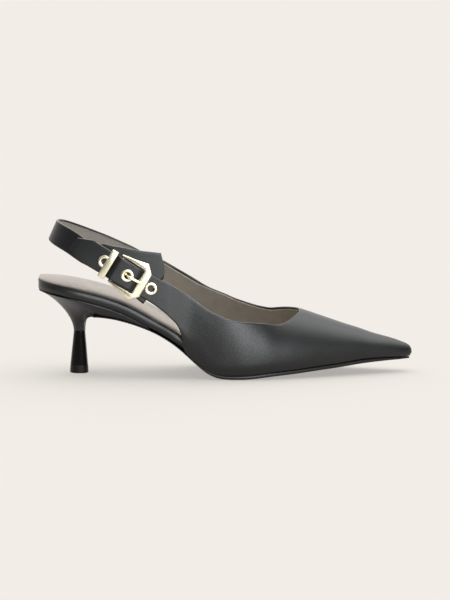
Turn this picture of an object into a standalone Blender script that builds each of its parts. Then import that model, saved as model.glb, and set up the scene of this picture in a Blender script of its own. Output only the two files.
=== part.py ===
"""A right slingback pump with a pointed toe, a kitten heel and a buckled strap.

+X runs from the heel to the toe, +Y to the medial side of the foot, +Z up.
A place along the shoe is a share of its length, from 0 at the back to 1 at the toe.
"""
import math

import bmesh
import bpy
from mathutils import Vector

MM = 0.001

# The last
LENGTH = 258.2 * MM
BALL_WIDTH = 78.0 * MM
HEEL_HEIGHT = 58.4 * MM
TOE_SPRING = 8.9 * MM
VAMP_HEIGHT = 38.2 * MM
BELLY_DEPTH = 35.3 * MM
SEAT_ROUNDING = 34.1 * MM

# Upper and layers of the sole
WALL = 1.6 * MM
GAP = 0.3 * MM
SOLE_THICKNESS = 2.5 * MM
SOLE_WAIST_THICKNESS = 1.2 * MM
SOLE_TIP_THICKNESS = 1.2 * MM
BOARD_THICKNESS = 6.8 * MM
BOARD_FORE_THICKNESS = 3.0 * MM
SOCK_THICKNESS = 1.8 * MM
SOCK_FORE_THICKNESS = 1.0 * MM
SOCK_MARGIN = 0.9 * MM
BOARD_ROUNDING = 1.4 * MM
SOLE_ROUNDING = 0.4 * MM

# Heel, whose setbacks from the shoe's back go with its length
BREAST_SETBACK = 0.1472 * LENGTH
TONGUE_SETBACK = 0.2982 * LENGTH
NECK_HEIGHT = 29.0 * MM
NECK_LENGTH = 8.0 * MM
NECK_WIDTH = 11.0 * MM
NECK_SETBACK = 0.0932 * LENGTH
NECK_DRAW = 12.0 * MM
BREAST_DRAW = 5.0 * MM
COVER_LEAD = 7.0 * MM
COVER_DROP_BACK = 2.2 * MM
COVER_DROP_BREAST = 7.2 * MM
TIP_LENGTH = 12.9 * MM
TIP_WIDTH = 14.5 * MM
TIP_SETBACK = 0.0821 * LENGTH
TIP_THICKNESS = 5.4 * MM

# Strap round the back
SLING_WIDTH = 14.8 * MM
SLING_THICKNESS = 2.0 * MM
SLING_RISE = 42.7 * MM
SLING_SETBACK = 0.0391 * LENGTH
SLING_LENGTH = 0.3447 * LENGTH
SLING_SPAN = 0.846 * BALL_WIDTH
SLING_ROUNDNESS = 2.6
SLING_LEAN_BACK = math.radians(24)
SLING_LEAN_SIDE = math.radians(4)

# Belt and buckle, along the belt (u), across it (v) and out from it (h)
BUCKLE_SETBACK = 0.2463 * LENGTH
BELT_SLOPE = math.radians(30)
BELT_WIDTH = 16.8 * MM
BELT_TIP = 42.6 * MM
BELT_TIP_WIDTH = 8.7 * MM
BELT_CHAMFER = 10.0 * MM
BELT_END = 20.0 * MM
EYELET_PITCH = 18.0 * MM
EYELET_MIDDLE = -0.6 * MM
EYELET_FLANGE = 8.6 * MM
EYELET_BORE = 4.4 * MM
EYELET_TUBE = 5.6 * MM
EYELET_RIM = 0.4 * MM
PIN_PLACE = -9.0 * MM
PIN_DIAMETER = 1.8 * MM
PRONG_DIAMETER = 2.0 * MM
FRAME_THICKNESS = 2.0 * MM
BAR_NEAR = 7.7 * MM
BAR_FAR = 13.5 * MM
KEEPER_NEAR = -13.1 * MM
KEEPER_FAR = -17.7 * MM
KEEPER_THICKNESS = 1.6 * MM

BACK = -LENGTH / 2
NOSE = LENGTH / 2
LATERAL = -1
MEDIAL = 1
TONGUE_TIP = BACK + TONGUE_SETBACK
BREAST = BACK + BREAST_SETBACK

# Underside of the sole: share of the length, share of the heel's height
SHANK = [
    (0.148, 0.699), (0.190, 0.683), (0.229, 0.648), (0.268, 0.598), (0.306, 0.534),
    (0.345, 0.441), (0.384, 0.321), (0.410, 0.210), (0.436, 0.112), (0.461, 0.036), (0.487, 0.000),
]
# Underside of the sole: share of the length, share of the toe spring
TOE = [
    (0.554, 0.000), (0.581, 0.075), (0.620, 0.202), (0.682, 0.340), (0.740, 0.500),
    (0.799, 0.650), (0.876, 0.883), (0.957, 0.989), (1.000, 1.000),
]
# Underside of the board over the heel: share of the length, share of the heel's height
SEAT = [
    (0.000, 1.000), (0.082, 0.937), (0.159, 0.856), (0.221, 0.764), (0.279, 0.632), (0.328, 0.497),
]
# Widest line: share of the length, share of the ball's width, middle as the same share
PLAN = [
    (0.000, 0.718, 0.000), (0.148, 0.718, 0.000), (0.190, 0.705, -0.010), (0.248, 0.676, -0.045),
    (0.306, 0.674, -0.050), (0.345, 0.718, -0.045), (0.388, 0.808, -0.038), (0.442, 0.903, -0.025),
    (0.500, 0.974, -0.013), (0.547, 1.000, -0.003), (0.597, 0.974, 0.007), (0.655, 0.897, 0.026),
    (0.713, 0.785, 0.044), (0.771, 0.656, 0.064), (0.829, 0.521, 0.084), (0.887, 0.382, 0.103),
    (0.934, 0.264, 0.113), (0.965, 0.182, 0.120), (0.988, 0.103, 0.125), (1.000, 0.000, 0.128),
]
# Top line of the last and its widest line, above the seam, as shares of the vamp's height
INSTEP = [
    (0.000, 2.40, 0.235), (0.268, 2.77, 0.235), (0.388, 2.87, 0.235), (0.438, 2.83, 0.230),
    (0.492, 2.64, 0.225), (0.547, 2.02, 0.220), (0.601, 1.500, 0.205), (0.636, 1.216, 0.195),
    (0.659, 1.110, 0.190), (0.678, 1.052, 0.186), (0.697, 1.000, 0.182), (0.740, 0.872, 0.172),
    (0.799, 0.698, 0.158), (0.838, 0.581, 0.146), (0.897, 0.419, 0.128), (0.947, 0.326, 0.105),
    (0.975, 0.262, 0.088), (0.991, 0.213, 0.076), (0.9985, 0.145, 0.070), (1.000, 0.080, 0.070),
]
# Tongue's side tucks in: share of its thickness
TONGUE_TUCK = 0.62
# Middle line of the strap: share of its length, share of its rise above the seat
SLING_LATERAL = [
    (0.000, 0.668), (0.225, 0.668), (0.413, 0.694), (0.636, 0.742), (0.708, 0.785),
    (0.854, 0.912), (1.000, 1.000),
]
SLING_MEDIAL = [
    (0.000, 0.935), (0.323, 0.800), (0.485, 0.811), (0.640, 0.852), (0.800, 0.909), (1.000, 1.000),
]

# Columns of the upper from the belt round the toe to the medial strap: where the column's
# top lies (share of the length, share of the vamp's height over the seam), where its foot
# lies (the same two), and the steps to the next row
LATERAL_QUARTER = [
    (0.342, 1.035, 0.324, 0.49, 2), (0.368, 1.043, 0.353, 0.44, 2), (0.395, 1.073, 0.374, 0.38, 2),
    (0.419, 1.107, 0.384, 0.24, 2), (0.440, 1.105, 0.390, 0.00, 2),
]
VAMP = [
    (0.469, 1.096, 0.430, 0.00, 3), (0.508, 1.010, 0.500, 0.00, 3), (0.546, 0.966, 0.585, 0.00, 4),
    (0.585, 0.920, 0.686, 0.00, 4), (0.616, 0.870, 0.779, 0.00, 3), (0.639, 0.835, 0.856, 0.00, 3),
    (0.661, 0.858, 0.918, 0.00, 2), (0.679, 0.912, 0.961, 0.00, 2), (0.691, 0.959, 0.984, 0.00, 2),
    (0.697, 1.000, 0.996, 0.00, 2), (0.693, 0.992, 0.984, 0.00, 2), (0.683, 1.000, 0.961, 0.00, 2),
    (0.663, 1.004, 0.918, 0.00, 3), (0.639, 0.987, 0.856, 0.00, 3), (0.612, 0.978, 0.779, 0.00, 4),
    (0.581, 1.036, 0.686, 0.00, 4), (0.546, 1.124, 0.585, 0.00, 3), (0.508, 1.221, 0.500, 0.00, 3),
    (0.469, 1.304, 0.430, 0.00, 2),
]
MEDIAL_QUARTER = [
    (0.440, 1.302, 0.390, 0.00, 2), (0.419, 1.286, 0.384, 0.28, 2), (0.395, 1.233, 0.374, 0.48, 2),
    (0.368, 1.182, 0.357, 0.61, 2), (0.337, 1.167, 0.330, 0.70, 2), (0.306, 1.158, 0.301, 0.70, 2),
    (0.275, 1.130, 0.275, 0.70, 1),
]
VAMP_RIDGE = 9
UPPER_ROWS = 12
SECTION_SQUARENESS = 0.05
# The quarters leave the last and follow the strap between these shares of the length
STRAP_BLEND = (0.345, 0.452)
STRAP_BLEND_RISE = 15.0 * MM


def monotone_slopes(xs, ys):
    """Slopes of a cubic through the points that never overshoots a row."""
    steps = []
    for i in range(len(xs) - 1):
        steps.append((ys[i + 1] - ys[i]) / (xs[i + 1] - xs[i]))
    slopes = [steps[0]]
    for before, after in zip(steps, steps[1:]):
        slopes.append(0.0 if before * after <= 0 else 2 * before * after / (before + after))
    slopes.append(steps[-1])
    return slopes


def smooth_curve(xs, ys):
    """A function that reads a smooth curve through the points."""
    slopes = monotone_slopes(xs, ys)

    def read(x):
        x = min(max(x, xs[0]), xs[-1])
        i = 0
        while i < len(xs) - 2 and x > xs[i + 1]:
            i += 1
        step = xs[i + 1] - xs[i]
        f = (x - xs[i]) / step
        rise = step * (slopes[i] * f * (1 - f) ** 2 - slopes[i + 1] * f * f * (1 - f))
        return ys[i] * (1 + 2 * f) * (1 - f) ** 2 + ys[i + 1] * f * f * (3 - 2 * f) + rise

    return read


def law(rows, column=1):
    """A table's column as a smooth curve over its first column."""
    return smooth_curve([row[0] for row in rows], [row[column] for row in rows])


def toe_law(rows, column):
    """The same, but smooth round the nose: read over the root of the way to the toe."""
    ordered = sorted(rows, key=lambda row: -row[0])
    read = smooth_curve([math.sqrt(1 - row[0]) for row in ordered], [row[column] for row in ordered])
    return lambda t: read(math.sqrt(max(0.0, 1 - t)))


def smoothstep(f):
    f = min(max(f, 0.0), 1.0)
    return f * f * (3 - 2 * f)


def share(x):
    return (x - BACK) / LENGTH


def place(t):
    return BACK + t * LENGTH


shank = law(SHANK)
toe = law(TOE)
seat = law(SEAT)
plan_width = toe_law(PLAN, 1)
plan_middle = toe_law(PLAN, 2)
instep = toe_law(INSTEP, 1)
midline = toe_law(INSTEP, 2)
sling_height = {LATERAL: law(SLING_LATERAL), MEDIAL: law(SLING_MEDIAL)}


def floor_line(x):
    """Height of the outsole's underside."""
    t = share(x)
    if t < SHANK[-1][0]:
        return shank(t) * HEEL_HEIGHT
    return toe(t) * TOE_SPRING


def sole_line(x):
    """Height of the outsole's top, thinner at the waist and towards the toe."""
    t = share(x)
    tip = (SOLE_TIP_THICKNESS - SOLE_THICKNESS) * smoothstep((t - 0.85) / 0.15)
    waist = (SOLE_WAIST_THICKNESS - SOLE_THICKNESS) * smoothstep((0.50 - t) / 0.12)
    return floor_line(x) + SOLE_THICKNESS + tip + waist


def seam_line(x):
    """Height of the underside of the board and of the upper's lower edge."""
    t = share(x)
    over_sole = sole_line(x) + GAP
    if t < SEAT[-1][0]:
        return max(seat(t) * HEEL_HEIGHT, over_sole if x > TONGUE_TIP else 0.0)
    return over_sole


def tongue_thickness(x):
    """Thickness of the heel's tongue between board and outsole."""
    return seam_line(x) - sole_line(x) - GAP


def lengths_at(x):
    """Half width, middle, widest height, top height and lower depth of the last."""
    t = share(x)
    base = seam_line(x)
    half = BALL_WIDTH / 2
    low = base + midline(t) * VAMP_HEIGHT
    high = base + instep(t) * VAMP_HEIGHT
    depth = BELLY_DEPTH * math.sqrt(max(0.0, 1 - t))
    return plan_width(t) * half, plan_middle(t) * half, low, high, depth


def feather_turn(x):
    """Turn round the last, from the top line, at which its side meets the sole."""
    width, middle, low, high, depth = lengths_at(x)
    return math.acos(max(-1.0, -(low - seam_line(x)) / max(depth, 1e-9)))


def feather_width(x):
    """Half width of the shoe where the upper or the board meets the sole."""
    width = lengths_at(x)[0] * math.sin(feather_turn(x))
    behind = (BACK + SEAT_ROUNDING - x) / SEAT_ROUNDING
    if behind > 0:
        width *= max(0.0, 1 - behind ** 2.3) ** (1 / 2.3)
    return width


def feather_tip():
    """Foremost place of the sole, where the last's underside crosses the seam."""
    near, far = place(0.95), NOSE
    for step in range(40):
        x = (near + far) / 2
        width, middle, low, high, depth = lengths_at(x)
        if low - depth < seam_line(x):
            near = x
        else:
            far = x
    return near


TIP = feather_tip()


def strap_point(side, x, z, h):
    """A point of the strap's surface over (x, z), h out from the strap's outer face."""
    front = BACK + SLING_SETBACK + SLING_LENGTH
    along = min(max((front - x) / SLING_LENGTH, 0.0), 1.0)
    across = (1 - along ** SLING_ROUNDNESS) ** (1 / SLING_ROUNDNESS)
    out_x = -(along ** (SLING_ROUNDNESS - 1)) / SLING_LENGTH
    out_y = across ** (SLING_ROUNDNESS - 1) / (SLING_SPAN / 2)
    size = math.hypot(out_x, out_y)
    lean = SLING_LEAN_SIDE + (SLING_LEAN_BACK - SLING_LEAN_SIDE) * along ** 4
    out = h - math.tan(lean) * (z - strap_middle(side, x))
    return Vector((
        x + out_x / size * out,
        side * (SLING_SPAN / 2 * across + out_y / size * out),
        z,
    ))


def strap_middle(side, x):
    """Height of the strap's middle line."""
    front = BACK + SLING_SETBACK + SLING_LENGTH
    along = min(max((front - x) / SLING_LENGTH, 0.0), 1.0)
    return seam_line(x) + sling_height[side](along) * SLING_RISE


def belt_xz(u, v):
    """Side view of a point u along the belt towards the toe and v up across it."""
    x = BACK + BUCKLE_SETBACK
    z = strap_middle(LATERAL, x)
    return (
        x + u * math.cos(BELT_SLOPE) + v * math.sin(BELT_SLOPE),
        z - u * math.sin(BELT_SLOPE) + v * math.cos(BELT_SLOPE),
    )


def on_belt(u, v, h):
    """A point by the belt's own sizes, h out from the strap under it."""
    x, z = belt_xz(u, v)
    return strap_point(LATERAL, x, z, h)


EYELETS = [EYELET_MIDDLE + k * EYELET_PITCH for k in (-1, 0, 1)]
PIN_RISE = GAP + PIN_DIAMETER / 2
BELT_HUMP = PIN_DIAMETER + 2 * GAP
# Lift of the belt's inner face over the strap: along the belt, lift
BELT_LIFT = [
    (-BELT_TIP, 2 * GAP), (EYELETS[0] - EYELET_FLANGE / 2, GAP), (KEEPER_NEAR, GAP),
    (PIN_PLACE - 0.6 * MM, BELT_HUMP), (EYELETS[1] + EYELET_FLANGE / 2 + GAP, BELT_HUMP),
    (BAR_NEAR, 1.1 * MM), (EYELETS[2] - EYELET_FLANGE / 2 - GAP, GAP), (3 * BELT_END, GAP),
]
belt_lift = law(BELT_LIFT)
BAR_LIFT = belt_lift(BAR_NEAR) + WALL + GAP + EYELET_RIM


def upper_lift(side, x, z):
    """How far the upper's inner face lies out from the strap."""
    if side == MEDIAL:
        return GAP
    centre_x, centre_z = belt_xz(0.0, 0.0)
    u = (x - centre_x) * math.cos(BELT_SLOPE) - (z - centre_z) * math.sin(BELT_SLOPE)
    return belt_lift(u)


def upper_point(x, turn):
    """Outer face of the upper; turn is 0 on the top line and negative on the lateral side."""
    width, middle, low, high, depth = lengths_at(x)
    side = LATERAL if turn < 0 else MEDIAL
    up = math.cos(turn)
    out = math.sin(turn)
    if up > 0:
        y = middle + width * out * (1 - SECTION_SQUARENESS * up * up)
        z = low + (high - low) * up
    else:
        y = middle + width * out
        z = low + depth * up
    point = Vector((x, y, z))
    first, last = STRAP_BLEND
    weight = smoothstep((last - share(x)) / (last - first))
    if weight > 0:
        weight *= smoothstep((z - seam_line(x)) / STRAP_BLEND_RISE)
        strap = strap_point(side, x, z, upper_lift(side, x, z) + WALL)
        point = point.lerp(strap, weight)
    return point


def turn_at(side, x, z):
    """Turn round the last at which its side has height z."""
    width, middle, low, high, depth = lengths_at(x)
    if z > low:
        return side * math.acos(min(1.0, (z - low) / (high - low)))
    return side * math.acos(max(-1.0, (z - low) / max(depth, 1e-9)))


def to_chart(x, turn):
    """Chart of the last that is regular at its nose."""
    reach = math.sqrt(max(0.0, NOSE - x) / LENGTH)
    return reach * math.cos(turn), reach * math.sin(turn)


def from_chart(p, q):
    reach = math.hypot(p, q)
    return NOSE - reach * reach * LENGTH, math.atan2(q, p)


def belt_columns():
    """Columns along the belt: top and foot in side view, and one step to each next."""
    half = BELT_WIDTH / 2
    tip_half = BELT_TIP_WIDTH / 2
    places = [
        (-BELT_TIP, tip_half), (BELT_CHAMFER / 2 - BELT_TIP, (half + tip_half) / 2),
        (BELT_CHAMFER - BELT_TIP, half), (1.5 * EYELETS[0], half),
        (EYELETS[0] - EYELET_FLANGE / 2, half), (KEEPER_FAR, half), (KEEPER_NEAR, half),
        (KEEPER_NEAR / 2 + PIN_PLACE / 2, half), (PIN_PLACE - 0.6 * MM, half), (PIN_PLACE / 2, half),
        (EYELETS[1], half), (EYELETS[1] + EYELET_FLANGE / 2 + GAP, half), (BAR_NEAR, half),
        (EYELETS[2] - EYELET_FLANGE / 2 - GAP, half), (BELT_END, half),
    ]
    return [(belt_xz(u, v), belt_xz(u, -v), 1) for u, v in places]


def table_columns(rows):
    """Columns of a quarter or the vamp, with their places worked out."""
    columns = []
    for top, top_rise, foot, foot_rise, steps in rows:
        top_x, foot_x = place(top), min(place(foot), TIP)
        top_z = seam_line(top_x) + top_rise * VAMP_HEIGHT
        foot_z = seam_line(foot_x) + foot_rise * VAMP_HEIGHT
        columns.append(((top_x, top_z), (foot_x, foot_z), steps))
    return columns


def side_columns(side, columns, rows):
    """Columns of a belt or a quarter, straight in side view."""
    keys = []
    step_of = 0
    for top, foot, steps in columns:
        keys.append((step_of, *top, *foot))
        step_of += steps
    curves = [law(keys, column) for column in (1, 2, 3, 4)]
    grid = []
    for c in range(keys[-1][0] + 1):
        top_x, top_z, foot_x, foot_z = [read(c) for read in curves]
        column = []
        for j in range(rows + 1):
            x = top_x + (foot_x - top_x) * j / rows
            z = top_z + (foot_z - top_z) * j / rows
            column.append(upper_point(x, turn_at(side, x, z)))
        grid.append(column)
    return grid


def vamp_columns(rows):
    """Columns of the vamp from the lateral quarter round the nose, straight on the chart.

    A further row of each quarter sets the slopes at the joins.
    """
    before, after = LATERAL_QUARTER[-2:], MEDIAL_QUARTER[:2]
    ridge = len(before) + VAMP_RIDGE
    keys = []
    step_of = 0
    for number, (top, foot, steps) in enumerate(table_columns(before + VAMP + after)):
        side = LATERAL if number <= ridge else MEDIAL
        top_turn = 0.0 if number == ridge else turn_at(side, *top)
        foot_turn = math.pi if number == ridge else turn_at(side, *foot)
        keys.append((step_of, *to_chart(top[0], top_turn), *to_chart(foot[0], foot_turn)))
        step_of += steps
    curves = [law(keys, column) for column in (1, 2, 3, 4)]
    grid = []
    for c in range(keys[1][0], keys[-2][0] + 1):
        top_p, top_q, foot_p, foot_q = [read(c) for read in curves]
        x, turn = from_chart(foot_p, foot_q)
        foot_p, foot_q = to_chart(x, math.copysign(feather_turn(min(x, TIP)), turn))
        column = []
        for j in range(rows + 1):
            f = j / rows
            x, turn = from_chart(top_p + (foot_p - top_p) * f, top_q + (foot_q - top_q) * f)
            column.append(upper_point(x, turn))
        grid.append(column)
    return grid


def offset_grid(grid, depth):
    """The grid moved in by depth along its own normals."""
    count, across = len(grid), len(grid[0])
    moved = []
    for i, column in enumerate(grid):
        row = []
        for j, point in enumerate(column):
            along = grid[min(i + 1, count - 1)][j] - grid[max(i - 1, 0)][j]
            down = column[min(j + 1, across - 1)] - column[max(j - 1, 0)]
            row.append(point + along.cross(down).normalized() * depth)
        moved.append(row)
    return moved


def wall_solid(name, outer, inner, material):
    """A closed wall between two grids of the same size."""
    count, across = len(outer), len(outer[0])
    vertices = [point for column in outer for point in column]
    vertices += [point for column in inner for point in column]
    shift = count * across
    faces = []
    for i in range(count - 1):
        for j in range(across - 1):
            a, b = i * across + j, (i + 1) * across + j
            faces.append((a, b, b + 1, a + 1))
            faces.append((shift + a, shift + a + 1, shift + b + 1, shift + b))
    border = [i * across for i in range(count)]
    border += [(count - 1) * across + j for j in range(1, across)]
    border += [i * across + across - 1 for i in range(count - 2, -1, -1)]
    border += [j for j in range(across - 2, 0, -1)]
    for a, b in zip(border, border[1:] + border[:1]):
        faces.append((a, shift + a, shift + b, b))
    return solid(name, vertices, faces, material)


def solid(name, vertices, faces, material, sharp=math.radians(35)):
    """An object made from points and faces, with its faces turned out."""
    mesh = bpy.data.meshes.new(name)
    mesh.from_pydata([tuple(v) for v in vertices], [], faces)
    shell = bmesh.new()
    shell.from_mesh(mesh)
    bmesh.ops.recalc_face_normals(shell, faces=shell.faces)
    if shell.calc_volume(signed=True) < 0:
        bmesh.ops.reverse_faces(shell, faces=shell.faces)
    bmesh.ops.triangulate(shell, faces=[face for face in shell.faces if len(face.verts) == 4])
    shell.to_mesh(mesh)
    shell.free()
    mesh.shade_smooth()
    mesh.set_sharp_from_angle(angle=sharp)
    mesh.materials.append(material)
    item = bpy.data.objects.new(name, mesh)
    bpy.context.collection.objects.link(item)
    return item


def loft(name, rings, material, sharp=math.radians(35)):
    """A closed solid through rings of equal count, capped by its first and last ring."""
    count = len(rings[0])
    vertices = [point for ring in rings for point in ring]
    faces = []
    for r in range(len(rings) - 1):
        for k in range(count):
            a, b = r * count + k, r * count + (k + 1) % count
            faces.append((a, b, b + count, a + count))
    for start in (0, (len(rings) - 1) * count):
        half = count // 2
        for k in range(half):
            a, b = start + k, start + (k + 1) % count
            c, d = start + (count - 1 - k - 1) % count, start + count - 1 - k
            corners = [a, b, c, d]
            unique = [v for i, v in enumerate(corners) if v not in corners[:i]]
            if len(unique) > 2:
                faces.append(tuple(unique))
    return solid(name, vertices, faces, material, sharp)


def finish(name, colour, roughness, metallic=0.0):
    """A plain surface."""
    material = bpy.data.materials.new(name)
    material.use_nodes = True
    shader = material.node_tree.nodes["Principled BSDF"]
    shader.inputs["Base Color"].default_value = (*colour, 1.0)
    shader.inputs["Roughness"].default_value = roughness
    shader.inputs["Metallic"].default_value = metallic
    return material


def make_finishes():
    return {
        "leather": finish("black_leather", (0.035, 0.035, 0.038), 0.45),
        "gloss": finish("gloss_black", (0.012, 0.011, 0.010), 0.12),
        "sole": finish("sole_black", (0.03, 0.029, 0.028), 0.5),
        "rubber": finish("top_piece_rubber", (0.018, 0.017, 0.016), 0.6),
        "sock": finish("sock_beige", (0.55, 0.50, 0.45), 0.6),
        "gold": finish("pale_gold", (0.83, 0.74, 0.50), 0.22, 1.0),
    }


# Stations that all layers of the sole share, closer at both ends of the shoe
LAYER_STATIONS = 60


def stations(start, end):
    """The shared stations between two places, and those two places."""
    shared = [-LENGTH / 2 * math.cos(math.pi * k / LAYER_STATIONS) for k in range(LAYER_STATIONS + 1)]
    near = 0.6 * MM
    inner = [x for x in shared if start + near < x < end - near]
    ends_round = [start + 0.2 * near] if start < shared[1] else []
    return [start] + ends_round + inner + [end]


def layer(name, start, end, bottom, top, inset, edge, rounding, material):
    """One layer of the sole between two height lines, ruled across the shoe.

    start and end are its ends, square where they aren't the shoe's own ends; edge(x) takes
    it in from the feather line, and inset is how far its rounded rims lie inside its side.
    """
    sides = {LATERAL: [], MEDIAL: []}
    for x in stations(start, end):
        middle = plan_middle(share(x)) * BALL_WIDTH / 2
        width = max(0.3 * MM, feather_width(x) - edge(x))
        for side in sides:
            sides[side].append((x, middle + side * width))
    outline = sides[LATERAL] + sides[MEDIAL][::-1]
    rims = [(rounding, 0.0), (0.0, inset), (0.0, 1 - inset), (rounding, 1.0)]
    rings = []
    for tuck, up in rims:
        ring = []
        for (x, y), (nx, ny) in zip(outline, outline_normals(outline)):
            middle = plan_middle(share(x)) * BALL_WIDTH / 2
            held = min(tuck, 0.4 * abs(y - middle))
            px, py = x - (nx * held if start < x < end else 0.0), y - ny * held
            low, high = bottom(px), top(px)
            ring.append(Vector((px, py, low + (high - low) * up)))
        rings.append(ring)
    return loft(name, rings, material)


def outline_normals(outline):
    """Outward normals of a closed outline that runs counter-clockwise."""
    normals = []
    count = len(outline)
    for k in range(count):
        ax, ay = outline[k - 1]
        bx, by = outline[(k + 1) % count]
        dx, dy = bx - ax, by - ay
        size = max(math.hypot(dx, dy), 1e-9)
        normals.append((dy / size, -dx / size))
    return normals


def board_fade(x):
    """0 where the board shows behind the upper, 1 where it lies inside it."""
    return smoothstep((share(x) - 0.362) / 0.028)


def fore_fade(x):
    return smoothstep((share(x) - 0.375) / 0.14)


def slope_stretch(x):
    """Upright thickness of a layer of unit thickness on the sloping shank."""
    rise = (seam_line(x + MM) - seam_line(x - MM)) / (2 * MM)
    return math.sqrt(1 + rise * rise)


def board_top(x):
    thickness = BOARD_THICKNESS + (BOARD_FORE_THICKNESS - BOARD_THICKNESS) * fore_fade(x)
    return seam_line(x) + thickness * slope_stretch(x)


def sock_top(x):
    thickness = SOCK_THICKNESS + (SOCK_FORE_THICKNESS - SOCK_THICKNESS) * fore_fade(x)
    return board_top(x) + GAP + thickness * slope_stretch(x)


def make_outsole(material):
    def tuck(x):
        return TONGUE_TUCK * tongue_thickness(x) if x < TONGUE_TIP + 3 * MM else 0.0
    layer("outsole", BREAST + GAP, TIP, floor_line, sole_line, 0.22, tuck, SOLE_ROUNDING, material)


def make_board(material):
    inside = 1.25 * WALL + 2 * GAP
    end = TIP - 2.4 * WALL

    def edge(x):
        return inside * board_fade(x)
    layer("insole_board", BACK, end, seam_line, board_top, 0.15, edge, BOARD_ROUNDING, material)


def make_sock(material):
    inside = 1.25 * WALL + 2 * GAP
    start = BACK + SOCK_MARGIN
    end = TIP - 4.2 * WALL

    def edge(x):
        rounding = SOCK_MARGIN if x > start + SEAT_ROUNDING else SOCK_MARGIN * 0.7
        return rounding + (inside + 0.5 * MM - SOCK_MARGIN) * board_fade(x)

    def bottom(x):
        return board_top(x) + GAP
    layer("insole", start, end, bottom, sock_top, 0.3, edge, 0.5 * MM, material)


def d_ring(back, length, width, height, count):
    """A ring round the heel's stem, flatter at its front, from the front's middle."""
    ring = []
    for k in range(count):
        turn = 2 * math.pi * (k + 0.5) / count
        cos, sin = math.cos(turn), -math.sin(turn)
        power = 3.2 if cos > 0 else 2.1
        x = back + length / 2 + length / 2 * math.copysign(abs(cos) ** (2 / power), cos)
        y = width / 2 * math.copysign(abs(sin) ** (2 / power), sin)
        ring.append(Vector((x, y, height)))
    return ring


HEEL_RING_COUNT = 40
HEEL_SIDE_RINGS = 3
HEEL_UNDER_RINGS = 6
HEEL_DROP_RINGS = 6


def heel_outline():
    """The heel's top outline, from the tongue's tip back along the lateral side and round."""
    half = HEEL_RING_COUNT // 2
    points = []
    for k in range(half):
        x = TONGUE_TIP - (TONGUE_TIP - BACK - 0.35 * MM) * math.sin(math.pi / 2 * k / (half - 0.5))
        middle = plan_middle(share(x)) * BALL_WIDTH / 2
        points.append((x, middle - feather_width(x) + GAP, middle + feather_width(x) - GAP))
    lateral = [(x, low) for x, low, high in points]
    medial = [(x, high) for x, low, high in reversed(points)]
    return lateral + medial


def bezier(a, b, c, d, f):
    g = 1 - f
    return a * g ** 3 + b * (3 * g * g * f) + c * (3 * g * f * f) + d * f ** 3


def make_heel(material):
    """The covered block: a slab under the board that runs down into the slim neck."""
    outline = heel_outline()
    neck = d_ring(BACK + NECK_SETBACK, NECK_LENGTH, NECK_WIDTH, NECK_HEIGHT + GAP / 2, HEEL_RING_COUNT)
    breast_half = 0.25 * BALL_WIDTH
    lines = []
    for k, (x, y) in enumerate(outline):
        top = Vector((x, y, seam_line(x) - GAP))
        end = neck[k]
        line = []
        if x > BREAST:
            tongue = tongue_thickness(x)
            inward = math.copysign(TONGUE_TUCK * tongue, y)
            low = Vector((x, y - inward, sole_line(x) + GAP))
            for r in range(HEEL_SIDE_RINGS + 1):
                f = r / HEEL_SIDE_RINGS
                side = top.lerp(low, f)
                line.append(side)
            back_share = (TONGUE_TIP - x) / (TONGUE_TIP - BREAST)
            half = breast_half * (0.06 + 0.94 * back_share)
            corner = Vector((BREAST, math.copysign(min(half, abs(low.y)), y), sole_line(BREAST) + GAP))
            for r in range(1, HEEL_UNDER_RINGS + 1):
                under = low.lerp(corner, r / HEEL_UNDER_RINGS)
                under.z = sole_line(under.x) + GAP
                line.append(under)
            lip = Vector((BREAST, corner.y, floor_line(BREAST)))
            line.append(lip)
            first = lip + Vector((-BREAST_DRAW, 0, 0.1 * BREAST_DRAW))
            last = end + Vector((0, 0, BREAST_DRAW))
            for r in range(1, HEEL_DROP_RINGS):
                line.append(bezier(lip, first, last, end, r / (HEEL_DROP_RINGS - 1)))
        else:
            turn = smoothstep((BREAST - x) / (BREAST - BACK))
            under_share = 0.42 + 0.24 * smoothstep((BREAST - x) / (NECK_LENGTH * 2))
            middle = Vector((BACK + NECK_SETBACK + NECK_LENGTH / 2, 0, top.z))
            inward = (middle - top).normalized()
            drop = COVER_DROP_BACK * turn + COVER_DROP_BREAST * (1 - turn)
            first = top + inward * COVER_LEAD - Vector((0, 0, drop))
            last = end + Vector((0, 0, NECK_DRAW))
            spans = [(HEEL_SIDE_RINGS, 0.0, 0.34), (HEEL_UNDER_RINGS, 0.34, under_share),
                     (HEEL_DROP_RINGS, under_share, 1.0)]
            line.append(top)
            for count, start, stop in spans:
                for r in range(1, count + 1):
                    line.append(bezier(top, first, last, end, start + (stop - start) * r / count))
        lines.append(line)
    rings = [[line[r] for line in lines] for r in range(len(lines[0]))]
    loft("heel", rings, material, math.radians(40))


# Stem of the heel: share of its height from the floor, share of the way from tip to neck
STEM = [(1.00, 1.00), (0.88, 0.88), (0.72, 0.70), (0.50, 0.45), (0.30, 0.24), (0.19, 0.12)]
STEM_RING_COUNT = 24


def stem_ring(height, towards_neck):
    def between(tip, neck):
        return tip + (neck - tip) * towards_neck
    return d_ring(BACK + between(TIP_SETBACK, NECK_SETBACK), between(TIP_LENGTH, NECK_LENGTH),
                  between(TIP_WIDTH, NECK_WIDTH), height, STEM_RING_COUNT)


def make_stem(material):
    top = NECK_HEIGHT - GAP / 2
    rings = [stem_ring(top * up, towards) for up, towards in STEM[:-1]]
    rings.append(stem_ring(TIP_THICKNESS + GAP, STEM[-1][1]))
    loft("heel_stem", rings, material)


def make_top_piece(material):
    ring = stem_ring(TIP_THICKNESS, STEM[-1][1])
    foot = stem_ring(0.0, 0.0)
    loft("top_piece", [ring, foot], material)


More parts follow.
